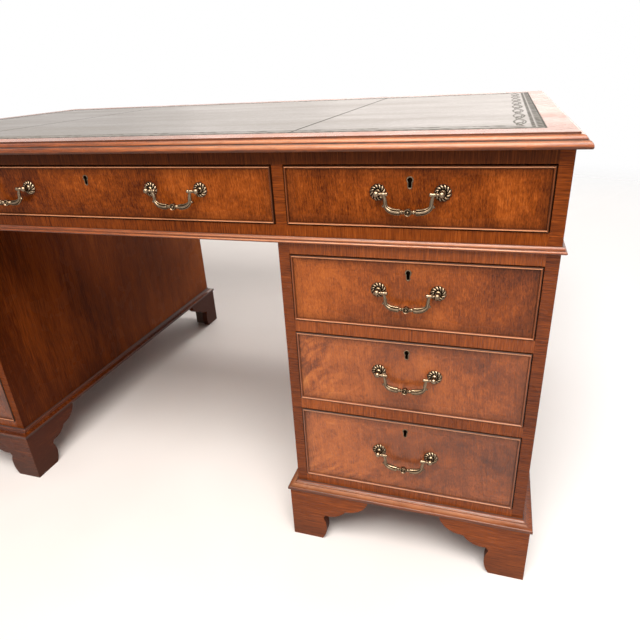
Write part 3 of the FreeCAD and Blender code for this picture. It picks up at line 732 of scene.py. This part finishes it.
def bezier(controls, share):
    """Point (x, z) at a share of a curve with four control points."""
    rest = 1 - share
    weights = rest ** 3, 3 * share * rest ** 2, 3 * share * share * rest, share ** 3
    return [sum(w * point[axis] for w, point in zip(weights, controls)) for axis in (0, 1)]


def eased(share):
    return share * share * (3 - 2 * share)


def bail_cast():
    """Swan-neck bail about its pin: knuckles, necks, horns, reeded bars and a ringed boss."""
    cast = Cast()
    to_bar = Matrix.Translation((0, 0, BAR))
    knuckle = [
        (0.3, 28.2), (1.9, 28.4), (2.8, 29.2), (3.05, 30.4), (2.8, 31.6), (2.45, 32.4),
        (2.55, 33.2), (2.75, 34.4), (2.65, 35.8), (2.3, 36.7), (2.5, 37.2), (2.7, 37.9),
        (2.4, 38.6), (1.85, 39.2), (1.85, 46.6), (0.3, 46.9)]
    neck = arc((66.3, -13.5), 34.5, 157.0, 180.0, 12)
    path = []
    for i, (x, z) in enumerate(neck):
        share = i / (len(neck) - 1)
        path.append((x, z, 2.1 + 0.8 * eased(share), 0.5 * share))
    shoulder = ((31.8, -13.5), (31.6, -19.5), (26.0, BAR), (11.9, BAR))
    for i in range(1, 31):
        share = i / 30
        x, z = bezier(shoulder, share)
        path.append((x, z, 2.9 + 1.9 * eased(min(share * 1.2, 1.0)), 0.5 + 0.5 * share))
    path += [(11.4, BAR, 4.65, 0.9), (11.0, BAR, 4.1, 0.6), (10.8, BAR, 2.8, 0.2)]
    horn = [
        (31.6, -11.8, 1.7, 0), (32.2, -13.6, 2.2, 0), (33.0, -15.0, 2.0, 0), (33.9, -16.0, 1.7, 0),
        (34.6, -16.5, 1.9, 0), (35.3, -16.4, 2.1, 0), (35.9, -16.0, 1.7, 0), (36.3, -15.6, 0.8, 0)]
    collar = [
        (2.4, 3.8), (3.0, 4.6), (3.1, 5.4), (2.5, 6.0), (2.3, 6.4), (2.7, 6.8), (3.4, 7.5),
        (3.4, 8.3), (2.8, 9.1), (2.4, 9.5), (2.4, 10.2), (2.9, 10.6), (2.9, 11.2)]
    for hand in (1, -1):
        flip = Matrix.Scale(hand, 4, (1, 0, 0))
        cast.turn(knuckle, flip @ ALONG_X, 24)
        cast.rod(path, flip)
        cast.rod(horn, flip, 20)
        cast.turn(collar, flip @ to_bar @ ALONG_X, 24)
    boss = [
        (0.3, 3.7), (3.8, 3.7), (4.9, 3.2), (5.3, 2.3), (5.3, -2.2), (5.2, -3.2), (4.8, -3.9),
        (4.3, -4.0), (3.8, -3.5), (3.5, -2.3), (3.1, -1.6), (2.3, -1.5), (1.9, -1.9), (1.7, -2.7),
        (1.1, -3.4), (0.3, -3.6)]
    cast.turn(boss, to_bar)
    return cast


def petals(cast, matrix):
    """Rose of swirled petals parted by deep grooves, dished in the middle, its back on y = 0."""
    count, rings, hollow = 192, [], []

    def ring(radius, height, share, relief):
        points = []
        for i in range(count):
            angle = 2 * math.pi * i / count
            off = abs(2 * (PETALS * (angle - SWIRL * share) / (2 * math.pi) % 1.0) - 1)
            crown = math.sqrt(max(1 - (off / 0.88) ** 2, 0.0))
            reach = radius * (1 - 0.085 * (1 - crown) * share ** 2)
            sunk = (1 - crown) * relief
            points.append((reach * math.cos(angle), -height + sunk, reach * math.sin(angle)))
            groove = max((off - 0.45) / 0.45, 0.0) * min(relief, 1.0)
            hollow.append(min(max(groove, (0.42 - share) / 0.15), 1.0))
        rings.append(points)

    ring(11.0, 0.0, 1.0, 0.0)
    ring(12.2, 0.0, 1.0, 0.0)
    ring(12.2, 0.8, 1.0, 0.2)
    for k, height in enumerate(PETAL_HEIGHTS):
        share = 1 - k / 10
        relief = min(height - 0.7, 2.0) * eased(min(1.0, share * 3.0))
        ring(3.4 + 8.7 * share, height, share, relief)
    cast.skin(rings, matrix, hollow)


def post(cast, matrix):
    """Post through the rose with a bored ball for the pin, and its stud and nut in the drawer."""
    stem = [
        (0.3, 25.0), (2.0, 25.0), (2.4, 24.4), (2.4, 23.0), (2.4, -2.0), (4.6, -2.0), (5.0, -2.9),
        (4.7, -3.9), (3.8, -4.6), (3.2, -5.4), (2.9, -6.6), (3.0, -8.0), (3.4, -9.2), (3.2, -10.4),
        (0.3, -10.5)]
    cast.turn(stem, matrix)
    ball = [(2.25, -4.05)]
    for k in range(1, 14):
        angle = math.radians(-60 + 120 * k / 14)
        ball.append((4.7 * math.cos(angle), 4.7 * math.sin(angle)))
    ball.append((2.25, 4.05))
    cast.turn(ball, matrix @ Matrix.Translation((0, -PIN_OUT, 0)) @ ALONG_X, closed=True)
    nut = [(2.5, 20.05), (5.7, 20.05), (6.0, 20.4), (6.0, 23.3), (5.4, 24.0), (2.5, 24.0)]
    cast.turn(nut, matrix, 6, closed=True)


def keyhole(cast, x, z):
    """Thin liner in the keyhole, standing a little proud of the front, black inside."""
    def outline(inset):
        radius, slot = 5.0 - inset, 3.3 - 0.65 * inset
        open_angle = math.degrees(math.asin(slot / radius))
        upper = arc((0, 0), radius, -90 + open_angle, 270 - open_angle, 28)
        lower = arc((0, -12.6 + 3.3 + 0.35 * inset), slot, 180, 360, 12)
        return [(x + a, z + b) for a, b in upper + lower]

    # Inset of the outline, y from the front, and hollow
    steps = (
        (0.0, 9.0, 0.6), (0.0, -0.4, 0.5), (0.2, -0.6, 0.2), (1.3, -0.6, 0.2), (1.7, -0.3, 0.6),
        (2.1, 0.4, 1.0), (2.1, 9.0, 1.0))
    rings = [[(a, y, b) for a, b in outline(inset)] for inset, y, _ in steps]
    hollow = [dark for _, _, dark in steps for _ in rings[0]]
    cast.skin(rings, Matrix.Translation((0, FACE, 0)), hollow, closed=True)


def lock(cast, x, top):
    """Lock case let into the back of the front, open at its top for the bolt, with four screws."""
    left, right, foot = x - 26, x + 26, top - 38.0
    bolt_left, bolt_right, bolt_foot = x - 10.3, x + 10.3, top - 18.0
    front, bolt_front, bolt_back, back = (FACE + y for y in (9.0, 12.9, 18.0, 20.0))
    cast.box((left, front, foot), (right, bolt_front, top), 1.0)
    cast.box((left, bolt_back, foot), (right, back, top), 0.2)
    cast.box((left, bolt_front, foot), (bolt_left, bolt_back, top), 0.2)
    cast.box((bolt_right, bolt_front, foot), (right, bolt_back, top), 0.2)
    cast.box((bolt_left, bolt_front, foot), (bolt_right, bolt_back, bolt_foot), 0.2)
    head = [(0.3, -0.3), (2.6, -0.3), (2.6, 0.1), (2.0, 0.35), (0.3, 0.35)]
    for a in (-21, 21):
        for b in (-32, -8):
            cast.turn(head, Matrix.Translation((x + a, back, top + b)), 20)


bail_mesh = None
for drawer in FRONTS:
    low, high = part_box(f"{drawer}_front")
    middle, top = (low.x + high.x) * 500, high.z * 1000
    bails = [n for n in nodes if n.startswith(drawer) and n.endswith("_bail")]
    fittings = Cast()
    keyhole(fittings, middle, top - KEYHOLE_DOWN)
    lock(fittings, middle, top)
    for node in bails:
        left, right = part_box(node)
        centre, pin = (left.x + right.x) / 2, right.z - PIN_DOWN / 1000
        for side in (-POST, POST):
            place = Matrix.Translation((centre * 1000 + side, FACE, pin * 1000))
            petals(fittings, place)
            post(fittings, place)
        if bail_mesh is None:
            handle = bail_cast().piece(f"{node}_cast")
            bail_mesh = handle.data
        else:
            handle = new_object(f"{node}_cast", bail_mesh)
        handle.location = (centre, (FACE - PIN_OUT) / 1000, pin)
        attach(handle, node.replace("_bail", "_handle"))
        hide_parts(node)
    dressed = fittings.piece(f"{drawer}_fittings_cast")
    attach(dressed, drawer)
    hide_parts(f"{drawer}_fittings")


# Floor, light and camera

def floor():
    """Pale cloth under the desk, which fades into the white all round."""
    mesh = bpy.data.meshes.new("floor")
    mesh.from_pydata([(-5, -5, 0), (5, -5, 0), (5, 5, 0), (-5, 5, 0)], [], [(0, 1, 2, 3)])
    s = Shade("floor_cloth")
    across = s.axes(s.place)[X]
    cloud = s.noise(s.place, 1.4, 3.0, 0.6)
    colour = s.ramp(cloud, (0.3, (0.79, 0.735, 0.70)), (0.7, (0.85, 0.805, 0.77)))
    colour = s.mix(s.step(across, 0.5, 1.1), colour, (0.95, 0.95, 0.95))
    mesh.materials.append(s.finish(colour, s.blend(cloud, 0.55, 0.75), cloud, bump=0.05))
    reach = s.add_linked("ShaderNodeVectorMath", s.place, operation="LENGTH").outputs["Value"]
    clear = s.add("ShaderNodeBsdfTransparent")
    fade = s.add("ShaderNodeMixShader")
    output = next(n for n in s.tree.nodes if n.type == "OUTPUT_MATERIAL")
    solid = output.inputs["Surface"].links[0].from_socket
    s.put(fade.inputs[0], highest(s, [s.step(reach, 2.2, 4.2), s.step(across, 0.95, 2.0)]))
    s.put(fade.inputs[1], solid)
    s.put(fade.inputs[2], clear.outputs[0])
    s.put(output.inputs["Surface"], fade.outputs[0])
    piece = new_object("floor", mesh)


def world():
    """White to the eye and in reflections, and a soft warm light on everything."""
    sky = bpy.data.worlds.new("studio")
    bpy.context.scene.world = sky
    sky.use_nodes = True
    tree = sky.node_tree
    tree.nodes.clear()
    path = tree.nodes.new("ShaderNodeLightPath")
    seen = path.outputs["Is Camera Ray"]
    for ray in ("Is Glossy Ray", "Is Transmission Ray"):
        either = tree.nodes.new("ShaderNodeMath")
        either.operation = "MAXIMUM"
        tree.links.new(seen, either.inputs[0])
        tree.links.new(path.outputs[ray], either.inputs[1])
        seen = either.outputs[0]
    shown = tree.nodes.new("ShaderNodeBackground")
    shown.inputs["Color"].default_value = (1.0, 1.0, 1.0, 1.0)
    light = tree.nodes.new("ShaderNodeBackground")
    light.inputs["Color"].default_value = (1.0, 0.965, 0.94, 1.0)
    light.inputs["Strength"].default_value = 0.45
    choice = tree.nodes.new("ShaderNodeMixShader")
    output = tree.nodes.new("ShaderNodeOutputWorld")
    tree.links.new(seen, choice.inputs[0])
    tree.links.new(light.outputs[0], choice.inputs[1])
    tree.links.new(shown.outputs[0], choice.inputs[2])
    tree.links.new(choice.outputs[0], output.inputs["Surface"])


def softbox(name, place, target, size, watts, colour=(1.0, 0.97, 0.94), spread=180):
    """Area light at a place, turned to a target, that the camera doesn't see."""
    lamp = bpy.data.lights.new(name, "AREA")
    lamp.shape = "RECTANGLE"
    lamp.size, lamp.size_y = size
    lamp.energy = watts
    lamp.color = colour
    lamp.spread = math.radians(spread)
    piece = new_object(name, lamp)
    piece.location = place
    towards = Vector(target) - Vector(place)
    piece.rotation_euler = towards.to_track_quat("-Z", "Y").to_euler()
    piece.visible_camera = False
    return piece


floor()
world()
softbox("key_panel", (0.7, -1.7, 2.7), (0.3, -0.3, 0.4), (2.0, 1.5), 114)

fills = [
    softbox("back_fill", (0.2, 3.2, 1.6), (0.2, 0.0, 0.4), (4.0, 2.0), 26),
    softbox("kneehole_fill", (-0.1, 1.0, 1.8), (-0.1, 0.3, 0.0), (0.6, 0.3), 0.9, spread=45),
]
for fill in fills:
    fill.visible_glossy = False

reflectors = [
    softbox("back_reflector", (-1.0, 3.6, 1.25), (-0.2, 0.0, 0.75), (9.0, 2.4), 41,
            (1.0, 0.80, 0.69)),
    softbox("front_reflector", (0.6, -2.6, 1.7), (0.4, -0.4, 0.6), (3.0, 1.4), 36),
    softbox("top_reflector", (0.6, -0.6, 2.4), (0.6, -0.6, 0.0), (3.0, 2.0), 120,
            (1.0, 0.84, 0.64)),
]
# Windows behind the desk, from three starts to one end, brighten the leather step by step to the
# right
WINDOW_END = 4.0
for count, (start, watts) in enumerate(((-2.8, 6.4), (-2.2, 8.4), (-0.8, 3.8))):
    width = WINDOW_END - start
    middle = start + width / 2
    reflectors.append(softbox(
        f"window_{count}", (middle, 3.2, 1.3), (middle - 0.4, 0.0, 0.7), (width, 1.6), watts,
        (1.0, 0.90, 0.83), spread=120))
for reflector in reflectors:
    reflector.visible_diffuse = False

lens = bpy.data.cameras.new("camera")
lens.sensor_width = 36.0
lens.lens = 30.11
camera = new_object("camera", lens)
eye = Matrix.Translation((0.65474, -1.18594, 0.84912))
right = (0.95246, 0.3001, -0.05253)
up = (-0.08321, 0.4221, 0.90272)
back = (0.29308, -0.85544, 0.42701)
camera.matrix_world = eye @ Matrix((right, up, back)).transposed().to_4x4()
bpy.context.scene.camera = camera
bpy.context.scene.view_settings.view_transform = "Standard"
